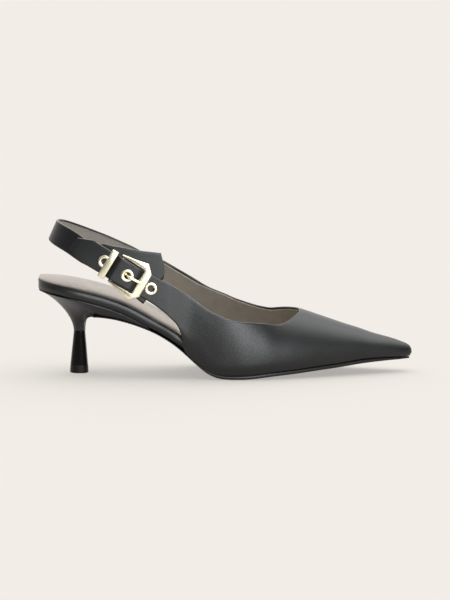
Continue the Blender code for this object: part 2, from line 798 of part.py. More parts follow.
def make_upper(material):
    """Vamp, quarters, belt and stub: one wall, open at the collar and underneath."""
    lateral = belt_columns() + table_columns(LATERAL_QUARTER + VAMP[:1])
    medial = table_columns(VAMP[-1:] + MEDIAL_QUARTER)
    to_vamp, from_vamp = LATERAL_QUARTER[-1][-1], VAMP[-1][-1]
    outer = side_columns(LATERAL, lateral, UPPER_ROWS)[:-1 - to_vamp]
    outer += vamp_columns(UPPER_ROWS)
    outer += side_columns(MEDIAL, medial, UPPER_ROWS)[from_vamp + 1:]
    upper = wall_solid("upper", outer, offset_grid(outer, WALL), material)
    for u in EYELETS:
        bore(upper, u, EYELET_TUBE / 2 + GAP)
    return upper


BORE_REACH = 8 * MM
BORE_SIDES = 16


def bore(item, u, radius):
    """Cuts an eyelet's hole through the belt."""
    rings = []
    for h in (GAP / 3, BORE_REACH):
        ring = []
        for k in range(BORE_SIDES):
            angle = 2 * math.pi * k / BORE_SIDES
            ring.append(on_belt(u + radius * math.cos(angle), radius * math.sin(angle), h))
        rings.append(ring)
    cutter = loft(f"bore_{u:.3f}", rings, item.data.materials[0])
    cutter.hide_render = True
    cutter.display_type = "WIRE"
    cut = item.modifiers.new(cutter.name, "BOOLEAN")
    cut.operation = "DIFFERENCE"
    cut.object = cutter


# The strap's wide end under the buckle: along the belt and across it, top then foot
FLAP = [
    ((21.4, 10.6), (18.0, -12.1)), ((19.3, 15.4), (16.6, -11.9)), ((11.2, 24.0), (12.0, -11.2)),
    ((-1.3, 18.5), (0.0, -9.8)), ((-14.5, 13.8), (-13.0, -8.9)), ((-19.4, 11.8), (-20.0, -8.4)),
    ((-25.5, 9.9), (-28.0, -8.0)),
]
SLING_COLUMN_COUNT = 40
SLING_ROWS = 4
SLING_END = 0.17


def sling_edges(side, x):
    """Top and foot of the strap in side view."""
    step = 0.5 * MM
    rise = (strap_middle(side, x + step) - strap_middle(side, x - step)) / (2 * step)
    front = BACK + SLING_SETBACK + SLING_LENGTH
    along = min(max((front - x) / SLING_LENGTH, 0.0), 1.0)
    across = (1 - along ** SLING_ROUNDNESS)
    rise *= min(1.0, across / 0.3)
    lean = SLING_LEAN_SIDE + (SLING_LEAN_BACK - SLING_LEAN_SIDE) * along ** 4
    tilt = math.atan(-rise)
    over, up = SLING_WIDTH / 2 * math.sin(tilt), SLING_WIDTH / 2 * math.cos(tilt) * math.cos(lean)
    middle = strap_middle(side, x)
    return (x + over, middle + up), (x - over, middle - up)


def make_sling(material):
    """The strap from the flap under the buckle round the back to the medial quarter."""
    columns = []
    for top, foot in FLAP:
        columns.append((LATERAL, belt_xz(top[0] * MM, top[1] * MM), belt_xz(foot[0] * MM, foot[1] * MM)))
    front = BACK + SLING_SETBACK + SLING_LENGTH
    flap_along = (front - (columns[-1][1][0] + columns[-1][2][0]) / 2) / SLING_LENGTH + 0.06
    start = math.asin((1 - flap_along ** SLING_ROUNDNESS) ** 0.5)
    end = math.asin((1 - SLING_END ** SLING_ROUNDNESS) ** 0.5)
    for step in range(SLING_COLUMN_COUNT + 1):
        angle = -start + (start + end) * step / SLING_COLUMN_COUNT
        along = math.cos(angle) ** (2 / SLING_ROUNDNESS)
        side = LATERAL if angle < 0 else MEDIAL
        top, foot = sling_edges(side, front - along * SLING_LENGTH)
        columns.append((side, top, foot))
    outer, inner = [], []
    for side, top, foot in columns:
        points = []
        for j in range(SLING_ROWS + 1):
            f = j / SLING_ROWS
            points.append((top[0] + (foot[0] - top[0]) * f, top[1] + (foot[1] - top[1]) * f))
        outer.append([strap_point(side, x, z, 0.0) for x, z in points])
        inner.append([strap_point(side, x, z, -SLING_THICKNESS) for x, z in points])
    wall_solid("sling_strap", outer, inner, material)


# Frame of the buckle from its lateral arm round to the other: inner edge, outer edge (mm)
FRAME = [
    ((-10.4, 9.0), (-10.4, 10.6)), ((-2.0, 9.0), (-2.0, 11.8)), ((7.2, 9.0), (8.0, 14.0)),
    ((7.7, 8.4), (13.5, 8.6)), ((7.7, -8.4), (13.5, -8.6)), ((7.2, -9.0), (8.0, -14.0)),
    ((-2.0, -9.0), (-2.0, -11.8)), ((-10.4, -9.0), (-10.4, -10.6)),
]
FACET = 0.6 * MM


def frame_lift(u):
    """Underside of the frame over the strap: low at the pin, high over the belt."""
    f = min(max((u - PIN_PLACE) / (BAR_NEAR - PIN_PLACE), 0.0), 1.0)
    return GAP + (BAR_LIFT - GAP) * f


def make_frame(material):
    rings = []
    for inner, outer in FRAME:
        a = Vector((inner[0] * MM, inner[1] * MM))
        b = Vector((outer[0] * MM, outer[1] * MM))
        way = (b - a).normalized() * FACET
        ring = []
        for spot, lift in ((a, 0.0), (b, 0.0), (b, 0.6), (b - way, 1.0), (a + way, 1.0), (a, 0.6)):
            ring.append(on_belt(spot.x, spot.y, frame_lift(spot.x) + lift * FRAME_THICKNESS))
        rings.append(ring)
    loft("buckle_frame", rings, material, math.radians(20))


def make_keeper(material):
    """The second bar: a low bridge over the belt, on two feet beside it."""
    inner = BELT_WIDTH / 2 + 2 * GAP
    outer = inner + 1.3 * MM
    low = GAP
    under = GAP + WALL + 2 * GAP + EYELET_RIM
    high = under + KEEPER_THICKNESS
    profile = [(-outer, low), (-inner, low), (-inner, under), (inner, under), (inner, low), (outer, low),
               (outer, high - FACET), (outer - FACET, high), (FACET - outer, high), (-outer, high - FACET)]
    rings = []
    for u in (KEEPER_FAR, KEEPER_FAR + FACET, KEEPER_NEAR - FACET, KEEPER_NEAR):
        drop = 0.0 if KEEPER_FAR < u < KEEPER_NEAR else 0.5 * FACET
        rings.append([on_belt(u, v, h - drop if h > under else h) for v, h in profile])
    count = len(profile)
    vertices = [point for ring in rings for point in ring]
    faces = []
    for r in range(len(rings) - 1):
        for k in range(count):
            a, b = r * count + k, r * count + (k + 1) % count
            faces.append((a, b, b + count, a + count))
    for start in (0, (len(rings) - 1) * count):
        for corners in ((0, 1, 2, 9), (2, 3, 6, 9), (3, 4, 5, 6), (6, 7, 8, 9)):
            faces.append(tuple(start + k for k in corners))
    solid("buckle_keeper", vertices, faces, material, math.radians(20))


def tube(name, route, radius, material, sides=10):
    """A round bar along points of the belt's own sizes."""
    rings = []
    for k, (u, v, h) in enumerate(route):
        ahead = Vector(route[min(k + 1, len(route) - 1)])
        behind = Vector(route[max(k - 1, 0)])
        way = (ahead - behind).normalized()
        side = Vector((0, 1, 0)) if abs(way.y) < 0.9 else Vector((1, 0, 0))
        side = (side - way * side.dot(way)).normalized()
        up = way.cross(side)
        middle = Vector((u, v, h))
        ring = []
        for s in range(sides):
            angle = 2 * math.pi * (s + 0.5) / sides
            point = middle + (side * math.cos(angle) + up * math.sin(angle)) * radius
            ring.append(on_belt(point.x, point.y, point.z))
        rings.append(ring)
    return loft(name, rings, material, math.radians(50))


def make_pin(material):
    reach = BELT_WIDTH / 2 + GAP
    route = [(PIN_PLACE, v, PIN_RISE) for v in (-reach, 0.0, reach)]
    tube("buckle_pin", route, PIN_DIAMETER / 2, material)


def make_prong(material):
    """From the pin under the belt, up through the middle eyelet and over the front bar."""
    radius = PRONG_DIAMETER / 2
    start = PIN_PLACE + PIN_DIAMETER / 2 + GAP
    hole = EYELETS[1]
    low = GAP + radius
    high = BAR_LIFT + FRAME_THICKNESS + GAP + radius
    route = [
        (start, 0.0, low), (hole - 2.0 * MM, 0.0, low), (hole - 0.6 * MM, 0.0, low + 0.5 * MM),
        (hole + 0.3 * MM, 0.0, (low + high) / 2), (hole + 1.2 * MM, 0.0, high - 0.4 * MM),
        (hole + 2.8 * MM, 0.0, high),
        (BAR_NEAR, 0.3 * MM, high), (BAR_FAR - 3.6 * MM, 0.6 * MM, high - 0.1 * MM),
    ]
    tube("buckle_prong", route, radius, material)


def make_eyelet(name, u, material):
    """A flanged ring set in the belt."""
    lift = belt_lift(u)
    face = lift + WALL + GAP / 2
    sections = [
        (EYELET_BORE / 2, lift - GAP / 3), (EYELET_TUBE / 2, lift - GAP / 3), (EYELET_TUBE / 2, face),
        (EYELET_FLANGE / 2, face), (EYELET_FLANGE / 2 - 0.5 * MM, face + EYELET_RIM),
        (EYELET_BORE / 2 + 0.4 * MM, face + EYELET_RIM), (EYELET_BORE / 2, face),
    ]
    sides = 20
    vertices, faces = [], []
    for s in range(sides):
        angle = 2 * math.pi * s / sides
        for radius, h in sections:
            vertices.append(on_belt(u + radius * math.cos(angle), radius * math.sin(angle), h))
    count = len(sections)
    for s in range(sides):
        for k in range(count):
            a, b = s * count + k, s * count + (k + 1) % count
            c, d = ((s + 1) % sides) * count + (k + 1) % count, ((s + 1) % sides) * count + k
            faces.append((a, b, c, d))
    solid(name, vertices, faces, material)


def stand_on_origin():
    """Parents every piece to an empty that puts the shoe's base centre at the origin."""
    pieces = [item for item in bpy.context.scene.objects if item.type == "MESH"]
    shown = [item for item in pieces if not item.hide_render]
    corners = [vertex.co for item in shown for vertex in item.data.vertices]
    low = [min(corner[axis] for corner in corners) for axis in range(3)]
    high = [max(corner[axis] for corner in corners) for axis in range(3)]
    stand = bpy.data.objects.new("pump", None)
    bpy.context.collection.objects.link(stand)
    stand.location = (-(low[0] + high[0]) / 2, -(low[1] + high[1]) / 2, -low[2])
    for item in pieces:
        item.parent = stand


def main():
    for item in list(bpy.data.objects):
        bpy.data.objects.remove(item, do_unlink=True)
    finishes = make_finishes()
    make_outsole(finishes["sole"])
    make_heel(finishes["leather"])
    make_stem(finishes["gloss"])
    make_top_piece(finishes["rubber"])
    make_board(finishes["leather"])
    make_sock(finishes["sock"])
    make_upper(finishes["leather"])
    make_sling(finishes["leather"])
    make_frame(finishes["gold"])
    make_keeper(finishes["gold"])
    make_pin(finishes["gold"])
    make_prong(finishes["gold"])
    for number, u in enumerate(EYELETS, start=1):
        make_eyelet(f"eyelet_{number}", u, finishes["gold"])
    stand_on_origin()


main()
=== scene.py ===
"""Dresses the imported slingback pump: leather, lining, edges, buckle, light and camera.

The shapes are read from the same laws of the last as the CAD part, in metres: +X runs to the
toe, -Y is the lateral side with the buckle, +Z is up. A place along the shoe is a share of
its length, from 0 at the back to 1 at the toe.
"""
import math

import bmesh
import bpy
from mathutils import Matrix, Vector


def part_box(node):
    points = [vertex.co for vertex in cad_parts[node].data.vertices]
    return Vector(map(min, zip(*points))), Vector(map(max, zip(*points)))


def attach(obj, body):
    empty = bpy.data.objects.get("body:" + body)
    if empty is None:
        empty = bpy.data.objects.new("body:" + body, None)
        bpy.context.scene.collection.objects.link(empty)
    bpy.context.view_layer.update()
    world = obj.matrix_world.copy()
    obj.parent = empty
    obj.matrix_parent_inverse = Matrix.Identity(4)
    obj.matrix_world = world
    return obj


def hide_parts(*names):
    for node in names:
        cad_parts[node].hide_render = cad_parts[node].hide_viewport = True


MM = 0.001
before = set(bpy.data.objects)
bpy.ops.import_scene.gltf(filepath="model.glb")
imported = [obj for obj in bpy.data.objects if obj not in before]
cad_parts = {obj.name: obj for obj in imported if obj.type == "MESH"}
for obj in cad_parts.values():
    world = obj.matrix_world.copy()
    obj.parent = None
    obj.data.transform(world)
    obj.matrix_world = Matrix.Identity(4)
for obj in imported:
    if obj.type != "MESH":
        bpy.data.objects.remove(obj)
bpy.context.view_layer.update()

# The last, as in the part
LENGTH = 258.2 * MM
BALL_WIDTH = 78.0 * MM
HEEL_HEIGHT = 58.4 * MM
TOE_SPRING = 8.9 * MM
VAMP_HEIGHT = 38.2 * MM
BELLY_DEPTH = 35.3 * MM
SEAT_ROUNDING = 34.1 * MM
SEAT_ROUNDNESS = 2.3
WALL = 1.6 * MM
GAP = 0.3 * MM
SOLE_THICKNESS = 2.5 * MM
SOLE_WAIST_THICKNESS = 1.2 * MM
SOLE_TIP_THICKNESS = 1.2 * MM
BOARD_THICKNESS = 6.8 * MM
BOARD_FORE_THICKNESS = 3.0 * MM
TONGUE_SETBACK = 0.2982 * LENGTH
TIP_THINS = (0.85, 0.15)
WAIST_THINS = (0.50, 0.12)
BOARD_THINS = (0.375, 0.14)

# Strap and belt, as in the part
SLING_WIDTH = 14.8 * MM
SLING_THICKNESS = 2.0 * MM
SLING_RISE = 42.7 * MM
SLING_SETBACK = 0.0391 * LENGTH
SLING_LENGTH = 0.3447 * LENGTH
SLING_SPAN = 0.846 * BALL_WIDTH
SLING_ROUNDNESS = 2.6
SLING_LEAN_BACK = math.radians(24)
SLING_LEAN_SIDE = math.radians(4)
SLING_END = 0.17
BUCKLE_SETBACK = 0.2463 * LENGTH
BELT_SLOPE = math.radians(30)
BELT_WIDTH = 16.8 * MM
BELT_TIP = 42.6 * MM
BELT_TIP_WIDTH = 8.7 * MM
BELT_CHAMFER = 10.0 * MM
BELT_END = 20.0 * MM
EYELETS = [-18.6 * MM, -0.6 * MM, 17.4 * MM]
EYELET_FLANGE = 8.6 * MM
EYELET_BORE = 4.4 * MM
EYELET_TUBE = 5.6 * MM
PIN_PLACE = -9.0 * MM
PIN_DIAMETER = 1.8 * MM
BAR_NEAR = 7.7 * MM
KEEPER_NEAR = -13.1 * MM
KEEPER_FAR = -17.7 * MM

# Leather and lining of the upper and the strap
HAIR = 0.05 * MM
INSET = 0.1 * MM
FOLD = 2.0 * MM
LEATHER = 1.0 * MM
STRAP_FOLD = 1.1 * MM
STRAP_LEATHER = 1.4 * MM
EDGE_BEAD = 0.42 * MM
PIPING = 0.55 * MM
PIPING_END = 0.372
PIPING_START = 0.7 * MM
PIPING_POINTS = 110
EYELET_RISE = 0.75 * MM
EYELET_SIDES = 48
HOLE_SIDES = 32
HOLE_REACH = (-0.2 * MM, 9 * MM)
EDGE_CREASE = 1.0
SQUARE_CORNER = math.radians(140)
FACET = math.radians(18)

# Studio
WALL_FROM = (0.0, 0.60, 0.80)
WALL_DIM, WALL_BRIGHT = 0.10, 1.42
KEY_FROM = (0.10, 0.20, 0.97)
KEY_STRENGTH = 0.6
KEY_ANGLE = math.radians(60)
SIDE_CARD_FROM = (0.19, -0.925, 0.32)
SIDE_CARD_STRENGTH = 2.9
SIDE_CARD_ANGLE = math.radians(34)
TOP_CARD_FROM = (0.50, 0.20, 0.84)
TOP_CARD_STRENGTH = 0.9
TOP_CARD_ANGLE = math.radians(50)
FLOOR_GLOW = 0.405
LAMP_COLOUR = (1.0, 0.99, 0.975)
CARD_COLOUR = (0.95, 0.985, 1.0)

# Camera
LENS = 156.5
SENSOR = 36.0
CAMERA_FROM = (-0.0004, -1.7846, 0.2845)
CAMERA_TO = (-0.0004, 0.0, 0.05015)

BACK = -LENGTH / 2
NOSE = LENGTH / 2
LATERAL = -1
MEDIAL = 1
TONGUE_TIP = BACK + TONGUE_SETBACK

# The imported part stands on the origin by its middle; the laws start from the heel's own axis
stem_low, stem_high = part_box("heel_stem")
SHIFT = Vector((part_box("insole_board")[0].x - BACK, (stem_low.y + stem_high.y) / 2, 0.0))

SHANK = [
    (0.148, 0.699), (0.190, 0.683), (0.229, 0.648), (0.268, 0.598), (0.306, 0.534),
    (0.345, 0.441), (0.384, 0.321), (0.410, 0.210), (0.436, 0.112), (0.461, 0.036), (0.487, 0.000),
]
TOE = [
    (0.554, 0.000), (0.581, 0.075), (0.620, 0.202), (0.682, 0.340), (0.740, 0.500),
    (0.799, 0.650), (0.876, 0.883), (0.957, 0.989), (1.000, 1.000),
]
SEAT = [
    (0.000, 1.000), (0.082, 0.937), (0.159, 0.856), (0.221, 0.764), (0.279, 0.632), (0.328, 0.497),
]
PLAN = [
    (0.000, 0.718, 0.000), (0.148, 0.718, 0.000), (0.190, 0.705, -0.010), (0.248, 0.676, -0.045),
    (0.306, 0.674, -0.050), (0.345, 0.718, -0.045), (0.388, 0.808, -0.038), (0.442, 0.903, -0.025),
    (0.500, 0.974, -0.013), (0.547, 1.000, -0.003), (0.597, 0.974, 0.007), (0.655, 0.897, 0.026),
    (0.713, 0.785, 0.044), (0.771, 0.656, 0.064), (0.829, 0.521, 0.084), (0.887, 0.382, 0.103),
    (0.934, 0.264, 0.113), (0.965, 0.182, 0.120), (0.988, 0.103, 0.125), (1.000, 0.000, 0.128),
]
INSTEP = [
    (0.000, 2.40, 0.235), (0.268, 2.77, 0.235), (0.388, 2.87, 0.235), (0.438, 2.83, 0.230),
    (0.492, 2.64, 0.225), (0.547, 2.02, 0.220), (0.601, 1.500, 0.205), (0.636, 1.216, 0.195),
    (0.659, 1.110, 0.190), (0.678, 1.052, 0.186), (0.697, 1.000, 0.182), (0.740, 0.872, 0.172),
    (0.799, 0.698, 0.158), (0.838, 0.581, 0.146), (0.897, 0.419, 0.128), (0.947, 0.326, 0.105),
    (0.975, 0.262, 0.088), (0.991, 0.213, 0.076), (0.9985, 0.145, 0.070), (1.000, 0.080, 0.070),
]
SLING_LATERAL = [
    (0.000, 0.668), (0.225, 0.668), (0.413, 0.694), (0.636, 0.742), (0.708, 0.785),
    (0.854, 0.912), (1.000, 1.000),
]
SLING_MEDIAL = [
    (0.000, 0.935), (0.323, 0.800), (0.485, 0.811), (0.640, 0.852), (0.800, 0.909), (1.000, 1.000),
]
LATERAL_QUARTER = [
    (0.342, 1.035, 0.324, 0.49, 2), (0.368, 1.043, 0.353, 0.44, 2), (0.395, 1.073, 0.374, 0.38, 2),
    (0.419, 1.107, 0.384, 0.24, 2), (0.440, 1.105, 0.390, 0.00, 2),
]
VAMP = [
    (0.469, 1.096, 0.430, 0.00, 3), (0.508, 1.010, 0.500, 0.00, 3), (0.546, 0.966, 0.585, 0.00, 4),
    (0.585, 0.920, 0.686, 0.00, 4), (0.616, 0.870, 0.779, 0.00, 3), (0.639, 0.835, 0.856, 0.00, 3),
    (0.661, 0.858, 0.918, 0.00, 2), (0.679, 0.912, 0.961, 0.00, 2), (0.691, 0.959, 0.984, 0.00, 2),
    (0.697, 1.000, 0.996, 0.00, 2), (0.693, 0.992, 0.984, 0.00, 2), (0.683, 1.000, 0.961, 0.00, 2),
    (0.663, 1.004, 0.918, 0.00, 3), (0.639, 0.987, 0.856, 0.00, 3), (0.612, 0.978, 0.779, 0.00, 4),
    (0.581, 1.036, 0.686, 0.00, 4), (0.546, 1.124, 0.585, 0.00, 3), (0.508, 1.221, 0.500, 0.00, 3),
    (0.469, 1.304, 0.430, 0.00, 2),
]
MEDIAL_QUARTER = [
    (0.440, 1.302, 0.390, 0.00, 2), (0.419, 1.286, 0.384, 0.28, 2), (0.395, 1.233, 0.374, 0.48, 2),
    (0.368, 1.182, 0.357, 0.61, 2), (0.337, 1.167, 0.330, 0.70, 2), (0.306, 1.158, 0.301, 0.70, 2),
    (0.275, 1.130, 0.275, 0.70, 1),
]
VAMP_RIDGE = 9
SECTION_SQUARENESS = 0.05
STRAP_BLEND = (0.345, 0.452)
STRAP_BLEND_RISE = 15.0 * MM
FLAP = [
    ((21.4, 10.6), (18.0, -12.1)), ((19.3, 15.4), (16.6, -11.9)), ((11.2, 24.0), (12.0, -11.2)),
    ((-1.3, 18.5), (0.0, -9.8)), ((-14.5, 13.8), (-13.0, -8.9)), ((-19.4, 11.8), (-20.0, -8.4)),
    ((-25.5, 9.9), (-28.0, -8.0)),
]


# Laws of the last


def monotone_slopes(xs, ys):
    """Slopes of a cubic through the points that never overshoots a row."""
    steps = [(ys[i + 1] - ys[i]) / (xs[i + 1] - xs[i]) for i in range(len(xs) - 1)]
    slopes = [steps[0]]
    for before, after in zip(steps, steps[1:]):
        slopes.append(0.0 if before * after <= 0 else 2 * before * after / (before + after))
    return slopes + [steps[-1]]


def smooth_curve(xs, ys):
    """A function that reads a smooth curve through the points."""
    slopes = monotone_slopes(xs, ys)

    def read(x):
        x = min(max(x, xs[0]), xs[-1])
        i = 0
        while i < len(xs) - 2 and x > xs[i + 1]:
            i += 1
        step = xs[i + 1] - xs[i]
        f = (x - xs[i]) / step
        rise = step * (slopes[i] * f * (1 - f) ** 2 - slopes[i + 1] * f * f * (1 - f))
        return ys[i] * (1 + 2 * f) * (1 - f) ** 2 + ys[i + 1] * f * f * (3 - 2 * f) + rise

    return read


def law(rows, column=1):
    return smooth_curve([row[0] for row in rows], [row[column] for row in rows])


def toe_law(rows, column):
    """A table's column, smooth round the nose: read over the root of the way to the toe."""
    ordered = sorted(rows, key=lambda row: -row[0])
    read = smooth_curve([math.sqrt(1 - row[0]) for row in ordered], [row[column] for row in ordered])
    return lambda t: read(math.sqrt(max(0.0, 1 - t)))


def smoothstep(f):
    f = min(max(f, 0.0), 1.0)
    return f * f * (3 - 2 * f)


shank, toe, seat = law(SHANK), law(TOE), law(SEAT)
plan_width, plan_middle = toe_law(PLAN, 1), toe_law(PLAN, 2)
instep, midline = toe_law(INSTEP, 1), toe_law(INSTEP, 2)
sling_height = {LATERAL: law(SLING_LATERAL), MEDIAL: law(SLING_MEDIAL)}


def share(x):
    return (x - BACK) / LENGTH


def place(t):
    return BACK + t * LENGTH


def sole_line(x):
    """Height of the outsole's top."""
    t = share(x)
    floor = shank(t) * HEEL_HEIGHT if t < SHANK[-1][0] else toe(t) * TOE_SPRING
    tip = (SOLE_TIP_THICKNESS - SOLE_THICKNESS) * smoothstep((t - TIP_THINS[0]) / TIP_THINS[1])
    waist = (SOLE_WAIST_THICKNESS - SOLE_THICKNESS) * smoothstep((WAIST_THINS[0] - t) / WAIST_THINS[1])
    return floor + SOLE_THICKNESS + tip + waist


def seam_line(x):
    """Height of the board's underside and of the upper's lower edge."""
    over_sole = sole_line(x) + GAP
    if share(x) < SEAT[-1][0]:
        return max(seat(share(x)) * HEEL_HEIGHT, over_sole if x > TONGUE_TIP else 0.0)
    return over_sole


def board_top(x):
    fore = smoothstep((share(x) - BOARD_THINS[0]) / BOARD_THINS[1])
    rise = (seam_line(x + MM) - seam_line(x - MM)) / (2 * MM)
    thickness = BOARD_THICKNESS + (BOARD_FORE_THICKNESS - BOARD_THICKNESS) * fore
    return seam_line(x) + thickness * math.sqrt(1 + rise * rise)


def lengths_at(x):
    """Half width, middle, widest height, top height and lower depth of the last."""
    t = share(x)
    base = seam_line(x)
    depth = BELLY_DEPTH * math.sqrt(max(0.0, 1 - t))
    return (plan_width(t) * BALL_WIDTH / 2, plan_middle(t) * BALL_WIDTH / 2,
            base + midline(t) * VAMP_HEIGHT, base + instep(t) * VAMP_HEIGHT, depth)


def feather_turn(x):
    """Turn round the last, from the top line, at which its side meets the sole."""
    width, middle, low, high, depth = lengths_at(x)
    return math.acos(max(-1.0, -(low - seam_line(x)) / max(depth, 1e-9)))


def feather_width(x):
    width = lengths_at(x)[0] * math.sin(feather_turn(x))
    behind = (BACK + SEAT_ROUNDING - x) / SEAT_ROUNDING
    if behind > 0:
        width *= max(0.0, 1 - behind ** SEAT_ROUNDNESS) ** (1 / SEAT_ROUNDNESS)
    return width


def feather_tip():
    """Foremost place of the sole, where the last's underside crosses the seam."""
    near, far = place(0.95), NOSE
    for step in range(40):
        x = (near + far) / 2
        width, middle, low, high, depth = lengths_at(x)
        near, far = (x, far) if low - depth < seam_line(x) else (near, x)
    return near


TIP = feather_tip()
SLING_FRONT = BACK + SLING_SETBACK + SLING_LENGTH


def strap_middle(side, x):
    along = min(max((SLING_FRONT - x) / SLING_LENGTH, 0.0), 1.0)
    return seam_line(x) + sling_height[side](along) * SLING_RISE


def strap_point(side, x, z, h):
    """A point of the strap's surface over (x, z), h out from the strap's outer face."""
    along = min(max((SLING_FRONT - x) / SLING_LENGTH, 0.0), 1.0)
    across = (1 - along ** SLING_ROUNDNESS) ** (1 / SLING_ROUNDNESS)
    out_x = -(along ** (SLING_ROUNDNESS - 1)) / SLING_LENGTH
    out_y = across ** (SLING_ROUNDNESS - 1) / (SLING_SPAN / 2)
    size = math.hypot(out_x, out_y)
    lean = SLING_LEAN_SIDE + (SLING_LEAN_BACK - SLING_LEAN_SIDE) * along ** 4
    out = h - math.tan(lean) * (z - strap_middle(side, x))
    return Vector((x + out_x / size * out, side * (SLING_SPAN / 2 * across + out_y / size * out), z))


def belt_xz(u, v):
    """Side view of a point u along the belt towards the toe and v up across it."""
    x = BACK + BUCKLE_SETBACK
    cos, sin = math.cos(BELT_SLOPE), math.sin(BELT_SLOPE)
    return x + u * cos + v * sin, strap_middle(LATERAL, x) - u * sin + v * cos


def on_belt(u, v, h):
    x, z = belt_xz(u, v)
    return strap_point(LATERAL, x, z, h)


BELT_HUMP = PIN_DIAMETER + 2 * GAP
belt_lift = law([
    (-BELT_TIP, 2 * GAP), (EYELETS[0] - EYELET_FLANGE / 2, GAP), (KEEPER_NEAR, GAP),
    (PIN_PLACE - 0.6 * MM, BELT_HUMP), (EYELETS[1] + EYELET_FLANGE / 2 + GAP, BELT_HUMP),
    (BAR_NEAR, 1.1 * MM), (EYELETS[2] - EYELET_FLANGE / 2 - GAP, GAP), (3 * BELT_END, GAP),
])


def upper_lift(side, x, z):
    """How far the upper's inner face lies out from the strap."""
    if side == MEDIAL:
        return GAP
    centre_x, centre_z = belt_xz(0.0, 0.0)
    return belt_lift((x - centre_x) * math.cos(BELT_SLOPE) - (z - centre_z) * math.sin(BELT_SLOPE))


def upper_point(x, turn):
    """Outer face of the upper; turn is 0 on the top line and negative on the lateral side."""
    width, middle, low, high, depth = lengths_at(x)
    side = LATERAL if turn < 0 else MEDIAL
    up, out = math.cos(turn), math.sin(turn)
    if up > 0:
        squared = 1 - SECTION_SQUARENESS * up * up
        point = Vector((x, middle + width * out * squared, low + (high - low) * up))
    else:
        point = Vector((x, middle + width * out, low + depth * up))
    first, last = STRAP_BLEND
    weight = smoothstep((last - share(x)) / (last - first))
    if weight > 0:
        weight *= smoothstep((point.z - seam_line(x)) / STRAP_BLEND_RISE)
        strap = strap_point(side, x, point.z, upper_lift(side, x, point.z) + WALL)
        point = point.lerp(strap, weight)
    return point


def turn_at(side, x, z):
    """Turn round the last at which its side has height z."""
    width, middle, low, high, depth = lengths_at(x)
    if z > low:
        return side * math.acos(min(1.0, (z - low) / (high - low)))
    return side * math.acos(max(-1.0, (z - low) / max(depth, 1e-9)))


def to_chart(x, turn):
    reach = math.sqrt(max(0.0, NOSE - x) / LENGTH)
    return reach * math.cos(turn), reach * math.sin(turn)


def from_chart(p, q):
    return NOSE - (p * p + q * q) * LENGTH, math.atan2(q, p)


def table_columns(rows):
    columns = []
    for top, top_rise, foot, foot_rise, steps in rows:
        top_x, foot_x = place(top), min(place(foot), TIP)
        columns.append(((top_x, seam_line(top_x) + top_rise * VAMP_HEIGHT),
                        (foot_x, seam_line(foot_x) + foot_rise * VAMP_HEIGHT), steps))
    return columns


def belt_columns():
    half, tip_half = BELT_WIDTH / 2, BELT_TIP_WIDTH / 2
    places = [
        (-BELT_TIP, tip_half), (BELT_CHAMFER / 2 - BELT_TIP, (half + tip_half) / 2),
        (BELT_CHAMFER - BELT_TIP, half), (1.5 * EYELETS[0], half),
        (EYELETS[0] - EYELET_FLANGE / 2, half), (KEEPER_FAR, half), (KEEPER_NEAR, half),
        (KEEPER_NEAR / 2 + PIN_PLACE / 2, half), (PIN_PLACE - 0.6 * MM, half), (PIN_PLACE / 2, half),
        (EYELETS[1], half), (EYELETS[1] + EYELET_FLANGE / 2 + GAP, half), (BAR_NEAR, half),
        (EYELETS[2] - EYELET_FLANGE / 2 - GAP, half), (BELT_END, half),
    ]
    return [(belt_xz(u, v), belt_xz(u, -v), 1) for u, v in places]


# Sheets: columns of points, dense enough to be smooth

COLUMN_STEPS = 4
COLUMN_SAMPLES = 48
EASE_TURNS = 16
FLAP_STEPS = 3
FLAP_BLEND = 0.06
SLING_STEPS = 150


def side_curve(side, columns):
    """Reads column c of a belt or a quarter, straight in side view."""
    keys, step_of = [], 0
    for top, foot, steps in columns:
        keys.append((step_of, *top, *foot))
        step_of += steps
    curves = [law(keys, column) for column in (1, 2, 3, 4)]

    def column_at(c):
        top_x, top_z, foot_x, foot_z = [read(c) for read in curves]
        points = []
        for j in range(COLUMN_SAMPLES + 1):
            f = j / COLUMN_SAMPLES
            x, z = top_x + (foot_x - top_x) * f, top_z + (foot_z - top_z) * f
            points.append(upper_point(x, turn_at(side, x, z)))
        return points
    return column_at, keys[-1][0]


def vamp_curve():
    """Reads column c of the vamp, straight on the chart; a further row at each end sets the slopes."""
    table = table_columns(LATERAL_QUARTER[-2:] + VAMP + MEDIAL_QUARTER[:2])
    ridge = VAMP_RIDGE + 2
    keys, step_of = [], 0
    for number, (top, foot, steps) in enumerate(table):
        side = LATERAL if number <= ridge else MEDIAL
        top_turn = 0.0 if number == ridge else turn_at(side, *top)
        foot_turn = math.pi if number == ridge else turn_at(side, *foot)
        keys.append((step_of, *to_chart(top[0], top_turn), *to_chart(foot[0], foot_turn)))
        step_of += steps
    curves = [law(keys, column) for column in (1, 2, 3, 4)]

    def column_at(c):
        top_p, top_q, foot_p, foot_q = [read(c) for read in curves]
        x, turn = from_chart(foot_p, foot_q)
        foot_p, foot_q = to_chart(x, math.copysign(feather_turn(min(x, TIP)), turn))
        points = []
        for j in range(COLUMN_SAMPLES + 1):
            f = j / COLUMN_SAMPLES
            p, q = top_p + (foot_p - top_p) * f, top_q + (foot_q - top_q) * f
            points.append(upper_point(*from_chart(p, q)))
        return points
    return column_at, keys[1][0], keys[-2][0]


def steps_between(start, end):
    """Column numbers in quarter steps."""
    return [start + k / COLUMN_STEPS for k in range((end - start) * COLUMN_STEPS + 1)]


